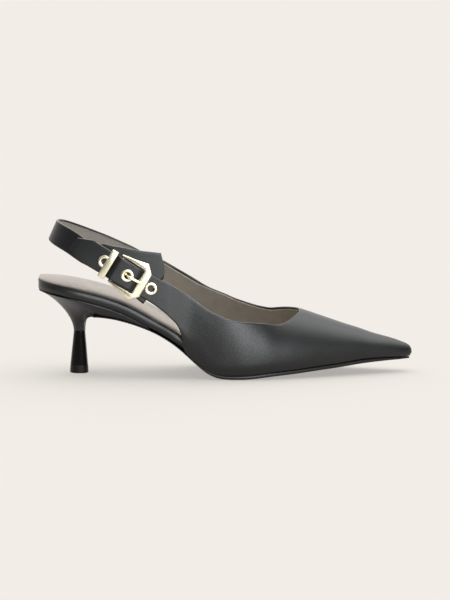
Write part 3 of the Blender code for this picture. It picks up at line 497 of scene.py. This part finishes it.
def upper_columns():
    """The upper's outer face from the belt's tip round the toe to the medial stub."""
    lateral, end = side_curve(LATERAL, belt_columns() + table_columns(LATERAL_QUARTER + VAMP[:1]))
    vamp, vamp_start, vamp_end = vamp_curve()
    medial, stub = side_curve(MEDIAL, table_columns(VAMP[-1:] + MEDIAL_QUARTER))
    columns = [lateral(c) for c in [0.0, 0.06, 0.14] + steps_between(0, end - LATERAL_QUARTER[-1][-1])[1:-1]]
    columns += [vamp(c) for c in steps_between(vamp_start, vamp_end)]
    columns += [medial(c) for c in steps_between(VAMP[-1][-1], stub)[1:-1] + [stub - 0.1, stub]]
    return eased(columns, len(belt_columns()) * COLUMN_STEPS, len(columns) - 4)


def eased(columns, first, last):
    """The columns with a calmer top line: each place moves towards its neighbours, least at the foot."""
    for step in range(EASE_TURNS):
        middle = [list(column) for column in columns]
        for i in range(first, last + 1):
            for j in range(COLUMN_SAMPLES):
                pull = 0.5 * (1 - j / COLUMN_SAMPLES) ** 2
                middle[i][j] = columns[i][j].lerp((columns[i - 1][j] + columns[i + 1][j]) / 2, pull)
        columns = middle
    return columns


def sling_edges(side, x):
    """Top and foot of the strap in side view."""
    step = 0.5 * MM
    rise = (strap_middle(side, x + step) - strap_middle(side, x - step)) / (2 * step)
    along = min(max((SLING_FRONT - x) / SLING_LENGTH, 0.0), 1.0)
    rise *= min(1.0, (1 - along ** SLING_ROUNDNESS) / 0.3)
    lean = SLING_LEAN_SIDE + (SLING_LEAN_BACK - SLING_LEAN_SIDE) * along ** 4
    tilt = math.atan(-rise)
    over, up = SLING_WIDTH / 2 * math.sin(tilt), SLING_WIDTH / 2 * math.cos(tilt) * math.cos(lean)
    middle = strap_middle(side, x)
    return (x + over, middle + up), (x - over, middle - up)


def sling_columns():
    """The strap's outer face from the flap round the back to the medial quarter."""
    flap = [(belt_xz(top[0] * MM, top[1] * MM), belt_xz(foot[0] * MM, foot[1] * MM)) for top, foot in FLAP]
    edges = []
    for before, after in zip(flap, flap[1:]):
        for k in range(FLAP_STEPS):
            f = k / FLAP_STEPS
            top, foot = [tuple(a + (b - a) * f for a, b in zip(p, q)) for p, q in zip(before, after)]
            edges.append((LATERAL, top, foot))
    edges.append((LATERAL, *flap[-1]))
    flap_along = (SLING_FRONT - (flap[-1][0][0] + flap[-1][1][0]) / 2) / SLING_LENGTH + FLAP_BLEND
    start = math.asin((1 - flap_along ** SLING_ROUNDNESS) ** 0.5)
    end = math.asin((1 - SLING_END ** SLING_ROUNDNESS) ** 0.5)
    for step in range(SLING_STEPS + 1):
        angle = -start + (start + end) * step / SLING_STEPS
        side = LATERAL if angle < 0 else MEDIAL
        along = math.cos(angle) ** (2 / SLING_ROUNDNESS)
        edges.append((side, *sling_edges(side, SLING_FRONT - along * SLING_LENGTH)))
    columns = []
    for side, top, foot in edges:
        points = []
        for j in range(COLUMN_SAMPLES + 1):
            f = j / COLUMN_SAMPLES
            x, z = top[0] + (foot[0] - top[0]) * f, top[1] + (foot[1] - top[1]) * f
            points.append(strap_point(side, x, z, 0.0))
        columns.append(points)
    return columns


class Sheet:
    """An outer face as columns of points, read by column, way down from the edge, and depth."""

    def __init__(self, columns, turn=1):
        self.columns = columns
        self.count = len(columns)
        self.inward = []
        self.ways = []
        for i, column in enumerate(columns):
            before, after = columns[max(i - 1, 0)], columns[min(i + 1, self.count - 1)]
            normals = []
            for j in range(len(column)):
                along = after[j] - before[j]
                down = column[min(j + 1, len(column) - 1)] - column[max(j - 1, 0)]
                normals.append(along.cross(down).normalized() * turn)
            self.inward.append(normals)
            ways = [0.0]
            for a, b in zip(column, column[1:]):
                ways.append(ways[-1] + (b - a).length)
            self.ways.append(ways)

    def length(self, i):
        return self.ways[i][-1]

    def point(self, i, way, depth):
        ways = self.ways[i]
        way = min(max(way, 0.0), ways[-1])
        j = min(int(way / ways[-1] * (len(ways) - 1)), len(ways) - 2)
        while j > 0 and ways[j] > way:
            j -= 1
        while j < len(ways) - 2 and ways[j + 1] < way:
            j += 1
        f = (way - ways[j]) / max(ways[j + 1] - ways[j], 1e-12)
        spot = self.columns[i][j].lerp(self.columns[i][j + 1], f)
        normal = self.inward[i][j].lerp(self.inward[i][j + 1], f)
        return spot + normal.normalized() * depth


# Meshes


def new_object(name, vertices, faces, materials):
    mesh = bpy.data.meshes.new(name)
    mesh.from_pydata([tuple(v + SHIFT) for v in vertices], [], faces)
    item = bpy.data.objects.new(name, mesh)
    bpy.context.collection.objects.link(item)
    for material in materials:
        mesh.materials.append(material)
    shell = bmesh.new()
    shell.from_mesh(mesh)
    bmesh.ops.recalc_face_normals(shell, faces=shell.faces)
    shell.to_mesh(mesh)
    shell.free()
    mesh.shade_smooth()
    return item


def skin(name, rings, materials, paint=None, sharp=None):
    """A closed solid through rings of equal count; paint(ring, side) gives a face's material."""
    count = len(rings[0])
    vertices = [point for ring in rings for point in ring]
    faces, slots = [], []
    for r in range(len(rings) - 1):
        for k in range(count):
            a, b = r * count + k, r * count + (k + 1) % count
            faces.append((a, b, b + count, a + count))
            slots.append(paint(r, k) if paint else 0)
    for start in (0, (len(rings) - 1) * count):
        for k in range(count // 2):
            corners = [start + k, start + k + 1, start + count - 2 - k, start + count - 1 - k]
            unique = [v for i, v in enumerate(corners) if v not in corners[:i]]
            if len(unique) > 2:
                faces.append(tuple(unique))
                slots.append(0)
    item = new_object(name, vertices, faces, materials)
    for face, slot in zip(item.data.polygons, slots):
        face.material_index = slot
    if sharp:
        item.data.set_sharp_from_angle(angle=sharp)
    return item


RIM_STEPS = 6
FACE_ROWS = 34
BACK_ROWS = 12


def taper(sheet, i, reach):
    """Share of the full thickness near the sheet's two ends, which are rounded."""
    middle = len(sheet.columns[i]) // 2
    near = min((sheet.columns[i][middle] - sheet.columns[0][middle]).length,
               (sheet.columns[i][middle] - sheet.columns[-1][middle]).length)
    f = min(near / reach, 1.0)
    return 0.35 + 0.65 * math.sqrt(1 - (1 - f) ** 2)


def rim(centre_way, direction, centre_depth, radius):
    """Points of a half round edge, as ways and depths, from its outer to its inner side."""
    points = []
    for k in range(RIM_STEPS + 1):
        angle = math.pi * k / RIM_STEPS
        way = centre_way + direction * radius * math.sin(angle)
        points.append((way, centre_depth - radius * math.cos(angle)))
    return points


def folded_skin(name, sheet, thickness, leather, fold, materials):
    """Outer leather whose edges are folded in over the lining; the outer half of its top rim gets a lighter
    grey, a painted highlight along the crest.
    """
    radius = thickness / 2
    rings = []
    for i in range(sheet.count):
        length = sheet.length(i)
        squeeze = taper(sheet, i, radius)
        section = []
        for k in range(FACE_ROWS + 1):
            section.append((radius + (length - 2 * radius) * k / FACE_ROWS, 0.0))
        section += rim(length - radius, 1, radius, radius)[1:]
        section += [(length - fold, thickness), (length - fold - HAIR, leather)]
        for k in range(1, BACK_ROWS):
            section.append((length - fold + (2 * fold - length) * k / BACK_ROWS, leather))
        section += [(fold + HAIR, leather), (fold, thickness)]
        section += rim(radius, -1, radius, radius)[::-1][:-1]
        rings.append([sheet.point(i, way, radius + (depth - radius) * squeeze) for way, depth in section])
    first_of_rim = len(rings[0]) - RIM_STEPS

    # Slot 1, the lighter grey, paints a highlight on the outer half of the top rim
    def paint(ring, side):
        return 1 if first_of_rim + RIM_STEPS // 2 <= side < len(rings[0]) - 1 else 0
    return skin(name, rings, materials, paint, sharp=math.radians(60))


def lining_skin(name, sheet, start, end, first, last, fold, material):
    """Thin lining between two depths, set in from the folded edges."""
    rings = []
    for i in range(first, last + 1):
        length = sheet.length(i)
        top, foot = fold + INSET, length - fold - INSET
        rows = [top + (foot - top) * k / FACE_ROWS for k in range(FACE_ROWS + 1)]
        rings.append([sheet.point(i, way, start) for way in rows] +
                     [sheet.point(i, way, end) for way in reversed(rows)])
    return skin(name, rings, [material], sharp=math.radians(50))


def bead(name, points, radius, material, sides=8):
    """A thin round roll along points."""
    rings = []
    up = Vector((0, 0, 1))
    for k, point in enumerate(points):
        way = (points[min(k + 1, len(points) - 1)] - points[max(k - 1, 0)]).normalized()
        side = way.cross(up).normalized()
        over = side.cross(way).normalized()
        size = radius if 0 < k < len(points) - 1 else 0.4 * radius
        ring = []
        for s in range(sides):
            angle = 2 * math.pi * s / sides
            ring.append(point + (side * math.cos(angle) + over * math.sin(angle)) * size)
        rings.append(ring)
    return skin(name, rings, [material])


def refined(node, name, material, bevel=0.0, levels=1, sharp=math.radians(35)):
    """A smooth copy of a CAD node, with rounded edges, that replaces it."""
    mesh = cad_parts[node].data.copy()
    item = bpy.data.objects.new(name, mesh)
    bpy.context.collection.objects.link(item)
    shell = bmesh.new()
    shell.from_mesh(mesh)
    bmesh.ops.remove_doubles(shell, verts=shell.verts, dist=1e-6)
    bmesh.ops.join_triangles(shell, faces=shell.faces, angle_face_threshold=math.radians(60),
                             angle_shape_threshold=math.radians(80))
    crease = shell.edges.layers.float.new("crease_edge")
    corner = shell.verts.layers.float.new("crease_vert")
    edges = [edge for edge in shell.edges if len(edge.link_faces) == 2 and edge.calc_face_angle() > sharp]
    if bevel:
        bmesh.ops.bevel(shell, geom=edges, offset=bevel, segments=2, profile=0.5, affect="EDGES",
                        clamp_overlap=True)
    else:
        for edge in edges:
            edge[crease] = EDGE_CREASE
        for vertex in shell.verts:
            ends = [edge.other_vert(vertex).co - vertex.co for edge in vertex.link_edges if edge[crease]]
            if len(ends) == 2 and ends[0].angle(ends[1]) < SQUARE_CORNER:
                vertex[corner] = EDGE_CREASE
    shell.to_mesh(mesh)
    shell.free()
    mesh.materials.clear()
    mesh.materials.append(material)
    mesh.shade_smooth()
    if levels:
        smooth = item.modifiers.new("smooth", "SUBSURF")
        smooth.levels = smooth.render_levels = levels
        apply_modifiers(item)
    else:
        mesh.set_sharp_from_angle(angle=math.radians(40))
    dress(item, node)
    return item


def apply_modifiers(item):
    graph = bpy.context.evaluated_depsgraph_get()
    mesh = bpy.data.meshes.new_from_object(item.evaluated_get(graph))
    item.modifiers.clear()
    item.data = mesh


SLOTS = {"upper": "leather", "sling_strap": "leather", "heel": "leather", "insole_board": "leather",
         "insole": "sock", "outsole": "sole", "heel_stem": "heel_gloss", "top_piece": "top_piece"}


def dress(item, *nodes, slot=None):
    """The piece rides on the shoe and stands for CAD nodes."""
    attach(item, "root")
    if nodes:
        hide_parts(*nodes)
    slot = slot or (SLOTS.get(nodes[0], "gold") if nodes else None)


# Materials


class Finish:
    """A Principled material whose nodes are added one at a time."""

    def __init__(self, name, **values):
        self.material = bpy.data.materials.new(name)
        self.material.use_nodes = True
        self.tree = self.material.node_tree
        self.shader = self.tree.nodes["Principled BSDF"]
        self.place = self.node("ShaderNodeTexCoord").outputs["Object"]
        for socket, value in values.items():
            self.shader.inputs[socket.replace("_", " ")].default_value = value

    def node(self, kind, **values):
        node = self.tree.nodes.new(kind)
        for key, value in values.items():
            if key in node.inputs:
                node.inputs[key].default_value = value
            else:
                setattr(node, key, value)
        return node

    def link(self, source, target):
        self.tree.links.new(source, target)

    def noise(self, scale, detail=3.0, stretch=(1, 1, 1)):
        mapping = self.node("ShaderNodeMapping")
        mapping.inputs["Scale"].default_value = stretch
        self.link(self.place, mapping.inputs["Vector"])
        noise = self.node("ShaderNodeTexNoise", Scale=scale, Detail=detail)
        self.link(mapping.outputs["Vector"], noise.inputs["Vector"])
        return noise.outputs["Fac"]

    def cells(self, scale):
        cells = self.node("ShaderNodeTexVoronoi", Scale=scale)
        self.link(self.place, cells.inputs["Vector"])
        return cells.outputs["Distance"]

    def ramp(self, source, stops):
        ramp = self.node("ShaderNodeValToRGB")
        elements = ramp.color_ramp.elements
        elements[0].position, elements[1].position = stops[0][0], stops[-1][0]
        elements[0].color, elements[1].color = (*stops[0][1], 1), (*stops[-1][1], 1)
        for position, colour in stops[1:-1]:
            elements.new(position).color = (*colour, 1)
        self.link(source, ramp.inputs["Fac"])
        return ramp.outputs["Color"]

    def colour(self, source, stops):
        self.link(self.ramp(source, stops), self.shader.inputs["Base Color"])

    def roughness(self, source, low, high):
        ranger = self.node("ShaderNodeMapRange")
        ranger.inputs["To Min"].default_value = low
        ranger.inputs["To Max"].default_value = high
        self.link(source, ranger.inputs["Value"])
        self.link(ranger.outputs["Result"], self.shader.inputs["Roughness"])

    def bump(self, source, depth, strength=1.0):
        bump = self.node("ShaderNodeBump", Strength=strength, Distance=depth)
        self.link(source, bump.inputs["Height"])
        before = self.shader.inputs["Normal"]
        if before.is_linked:
            self.link(before.links[0].from_socket, bump.inputs["Normal"])
        self.link(bump.outputs["Normal"], before)


def make_leather(name, dark, light, low, high, grain, gloss=0.38):
    finish = Finish(name, Specular_IOR_Level=gloss, Coat_Weight=0.15, Coat_Roughness=0.36)
    finish.colour(finish.noise(60.0, 4.0), [(0.35, dark), (0.65, light)])
    finish.roughness(finish.noise(420.0, 3.0), low, high)
    finish.bump(finish.cells(1400.0), grain)
    finish.bump(finish.noise(2600.0, 2.0), grain)
    return finish.material


def make_sock():
    finish = Finish("sock_suede", Sheen_Weight=0.25, Sheen_Roughness=0.5, Specular_IOR_Level=0.25)
    finish.colour(finish.noise(220.0, 5.0), [(0.3, (0.560, 0.505, 0.455)), (0.7, (0.620, 0.570, 0.520))])
    finish.roughness(finish.noise(900.0), 0.62, 0.78)
    finish.bump(finish.noise(5200.0, 2.0), 0.00005)
    return finish.material


def make_lining(name, dark, light):
    finish = Finish(name, Specular_IOR_Level=0.3)
    finish.colour(finish.noise(160.0, 5.0), [(0.3, dark), (0.7, light)])
    finish.roughness(finish.noise(700.0), 0.5, 0.66)
    finish.bump(finish.cells(1800.0), 0.00004)
    return finish.material


def make_strap_lining():
    finish = Finish("strap_lining", Specular_IOR_Level=0.3)
    finish.colour(finish.noise(160.0, 5.0), [(0.3, (0.49, 0.475, 0.435)), (0.7, (0.57, 0.555, 0.510))])
    finish.roughness(finish.noise(700.0), 0.5, 0.66)
    wave = finish.node("ShaderNodeTexWave", Scale=420.0, Distortion=0.6)
    finish.link(finish.place, wave.inputs["Vector"])
    finish.bump(wave.outputs["Fac"], 0.00016)
    return finish.material


def make_gold():
    finish = Finish("pale_gold", Metallic=1.0)
    finish.colour(finish.noise(90.0, 3.0), [(0.3, (0.92, 0.86, 0.62)), (0.7, (0.97, 0.92, 0.71))])
    finish.roughness(finish.noise(1500.0, 3.0, (1, 1, 6)), 0.20, 0.32)
    finish.bump(finish.noise(3500.0, 2.0), 0.00001)
    return finish.material


def make_gloss():
    finish = Finish("gloss_lacquer", Specular_IOR_Level=0.08, Coat_Weight=0.05, Coat_Roughness=0.04)
    finish.colour(finish.noise(80.0), [(0.3, (0.005, 0.0046, 0.0042)), (0.7, (0.008, 0.0074, 0.0068))])
    finish.roughness(finish.noise(300.0), 0.10, 0.18)
    finish.bump(finish.noise(120.0, 1.0), 0.00004)
    return finish.material


def make_rubber():
    finish = Finish("top_piece_rubber", Specular_IOR_Level=0.15)
    finish.colour(finish.noise(300.0), [(0.3, (0.012, 0.011, 0.010)), (0.7, (0.022, 0.020, 0.019))])
    finish.roughness(finish.noise(900.0), 0.35, 0.5)
    finish.bump(finish.cells(2500.0), 0.00003)
    return finish.material


leather = make_leather("black_leather", (0.0050, 0.0055, 0.0068), (0.0085, 0.0091, 0.0108),
                       0.34, 0.44, 0.00006, 0.38)
# A lighter grey painted on the rolled top edge as a highlight along its crest
highlight_edge_leather = make_leather("leather_edge_painted_highlight", (0.150, 0.150, 0.148), (0.190, 0.190, 0.188),
                            0.30, 0.40, 0.00002, 0.5)
sole_finish = make_leather("sole_resin", (0.018, 0.018, 0.018), (0.025, 0.025, 0.025),
                           0.34, 0.46, 0.00002, 0.24)
lining = make_lining("quarter_lining", (0.382, 0.345, 0.292), (0.448, 0.410, 0.352))
edge_finish = make_lining("lining_edge", (0.72, 0.69, 0.62), (0.82, 0.79, 0.72))
strap_lining = make_strap_lining()
sock = make_sock()
gold = make_gold()
gloss = make_gloss()
rubber = make_rubber()


# Pieces


def make_upper():
    sheet = Sheet(upper_columns())
    skin_piece = folded_skin("upper_leather", sheet, WALL, LEATHER, FOLD, [leather, highlight_edge_leather])
    cut_eyelet_holes(skin_piece)
    dress(skin_piece, "upper")
    first = len(belt_columns()) * COLUMN_STEPS
    last = sheet.count - 3
    inner = lining_skin("upper_lining", sheet, LEATHER + HAIR, WALL, first, last, FOLD, lining)
    dress(inner)
    line = [sheet.point(i, FOLD + INSET, WALL - INSET) for i in range(first, last + 1)]
    dress(bead("upper_lining_edge", line, EDGE_BEAD, edge_finish))


def cut_eyelet_holes(item):
    for number, u in enumerate(EYELETS, start=1):
        rings = []
        for h in HOLE_REACH:
            rings.append([on_belt(u + EYELET_TUBE / 2 * math.cos(a), EYELET_TUBE / 2 * math.sin(a), h)
                          for a in (2 * math.pi * k / HOLE_SIDES for k in range(HOLE_SIDES))])
        cutter = skin(f"eyelet_cutter_{number}", rings, [])
        cut = item.modifiers.new("hole", "BOOLEAN")
        cut.operation = "DIFFERENCE"
        cut.solver = "EXACT"
        cut.object = cutter
        apply_modifiers(item)
        bpy.data.objects.remove(cutter)


def make_sling():
    sheet = Sheet(sling_columns(), -1)
    piece = folded_skin("strap_leather", sheet, SLING_THICKNESS, STRAP_LEATHER, STRAP_FOLD,
                        [leather, highlight_edge_leather])
    dress(piece, "sling_strap")
    inner = lining_skin("strap_lining_sheet", sheet, STRAP_LEATHER + HAIR, SLING_THICKNESS, 4,
                        sheet.count - 3, STRAP_FOLD, strap_lining)
    dress(inner)


def make_eyelet(number, u):
    """A rolled metal ring set in the belt."""
    lift = belt_lift(u)
    face = lift + WALL
    inner, outer = EYELET_BORE / 2, EYELET_FLANGE / 2
    sections = [(inner, lift - INSET), (EYELET_TUBE / 2 - INSET, lift - INSET),
                (EYELET_TUBE / 2 - INSET, face + HAIR), (outer, face + HAIR)]
    middle, half = (outer + inner) / 2, (outer - inner) / 2
    for k in range(1, 9):
        angle = math.pi * k / 9
        crest = face + HAIR + EYELET_RISE * math.sin(angle) ** 0.8
        sections.append((middle + half * math.cos(angle), crest))
    sections.append((inner, face))
    vertices, faces = [], []
    count = len(sections)
    for s in range(EYELET_SIDES):
        angle = 2 * math.pi * s / EYELET_SIDES
        vertices += [on_belt(u + r * math.cos(angle), r * math.sin(angle), h) for r, h in sections]
        after = (s + 1) % EYELET_SIDES
        for k in range(count):
            over = (k + 1) % count
            faces.append((s * count + k, s * count + over, after * count + over, after * count + k))
    item = new_object(f"eyelet_ring_{number}", vertices, faces, [gold])
    item.data.set_sharp_from_angle(angle=math.radians(50))
    dress(item, f"eyelet_{number}")


def make_piping():
    """The thin covered cord round the sock, along the board's rim."""
    sides = {LATERAL: [], MEDIAL: []}
    reach = place(PIPING_END) - BACK
    for k in range(PIPING_POINTS + 1):
        way = 1 - math.cos(math.pi / 2 * k / PIPING_POINTS)
        x = BACK + PIPING_START + (reach - PIPING_START) * way
        middle = plan_middle(share(x)) * BALL_WIDTH / 2
        width = feather_width(x) - PIPING
        for side in sides:
            sides[side].append(Vector((x, middle + side * width, board_top(x) - HAIR)))
    line = sides[MEDIAL][::-1] + sides[LATERAL]
    dress(bead("board_piping", line, PIPING, leather, 10))


def place_pieces():
    make_upper()
    make_sling()
    make_piping()
    refined("insole_board", "board_wrap", leather)
    refined("insole", "sock_sheet", sock)
    refined("outsole", "outsole_leather", sole_finish)
    refined("heel", "heel_cover", leather)
    refined("heel_stem", "heel_lower", gloss, 0.35 * MM, 2)
    refined("top_piece", "heel_cap", rubber, 0.35 * MM, 2)
    refined("buckle_frame", "frame_polished", gold, 0.22 * MM, 0, FACET)
    refined("buckle_keeper", "keeper_polished", gold, 0.18 * MM, 0, FACET)
    refined("buckle_prong", "prong_polished", gold, 0.3 * MM, 1)
    for number, u in enumerate(EYELETS, start=1):
        make_eyelet(number, u)
    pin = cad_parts["buckle_pin"]
    pin.data.materials.clear()
    pin.data.materials.append(gold)


def make_stage():
    """One wide pale sheet that glows a little, so that the shadow stays soft."""
    paper = Finish("floor_paper", Roughness=0.9, Specular_IOR_Level=0.0)
    paper.shader.inputs["Emission Color"].default_value = (1.0, 0.965, 0.915, 1.0)
    paper.shader.inputs["Emission Strength"].default_value = FLOOR_GLOW
    paper.colour(paper.noise(3.0), [(0.3, (0.434, 0.418, 0.394)), (0.7, (0.438, 0.422, 0.398))])
    mesh = bpy.data.meshes.new("floor")
    mesh.from_pydata([(-30, -6, 0), (30, -6, 0), (30, 60, 0), (-30, 60, 0)], [], [(0, 1, 2, 3)])
    mesh.materials.append(paper.material)
    floor = bpy.data.objects.new("floor", mesh)
    bpy.context.collection.objects.link(floor)


def make_light():
    """A pale studio, brighter above and behind, one wide soft key light and two cards."""
    world = bpy.data.worlds.new("studio")
    bpy.context.scene.world = world
    world.use_nodes = True
    nodes, links = world.node_tree.nodes, world.node_tree.links
    way = nodes.new("ShaderNodeTexCoord")
    facing = nodes.new("ShaderNodeVectorMath")
    facing.operation = "DOT_PRODUCT"
    facing.inputs[1].default_value = WALL_FROM
    level = nodes.new("ShaderNodeMapRange")
    level.interpolation_type = "SMOOTHSTEP"
    level.inputs["From Min"].default_value = -0.15
    level.inputs["To Min"].default_value = WALL_DIM
    level.inputs["To Max"].default_value = WALL_BRIGHT
    links.new(way.outputs["Generated"], facing.inputs[0])
    links.new(facing.outputs["Value"], level.inputs["Value"])
    background = nodes["Background"]
    background.inputs["Color"].default_value = (*LAMP_COLOUR, 1.0)
    links.new(level.outputs["Result"], background.inputs["Strength"])
    soft_light("key", KEY_FROM, KEY_STRENGTH, KEY_ANGLE)
    cards = [soft_light("side_card", SIDE_CARD_FROM, SIDE_CARD_STRENGTH, SIDE_CARD_ANGLE),
             soft_light("top_card", TOP_CARD_FROM, TOP_CARD_STRENGTH, TOP_CARD_ANGLE)]
    for card in cards:
        card.visible_diffuse = False
        card.data.color = CARD_COLOUR


def soft_light(name, source, strength, angle):
    """A wide round light far away. A card is one that lights gloss alone."""
    light = bpy.data.lights.new(name, "SUN")
    light.energy = strength
    light.angle = angle
    light.color = LAMP_COLOUR
    item = bpy.data.objects.new(name, light)
    item.rotation_euler = Vector(source).to_track_quat("Z", "Y").to_euler()
    bpy.context.collection.objects.link(item)
    return item


def make_camera():
    camera = bpy.data.cameras.new("camera")
    camera.lens = LENS
    camera.sensor_width = SENSOR
    camera.sensor_fit = "AUTO"
    item = bpy.data.objects.new("camera", camera)
    item.location = CAMERA_FROM
    item.rotation_euler = (Vector(CAMERA_TO) - item.location).to_track_quat("-Z", "Y").to_euler()
    bpy.context.collection.objects.link(item)
    bpy.context.scene.camera = item


make_camera()
place_pieces()
make_stage()
make_light()
bpy.context.scene.view_settings.view_transform = "Standard"
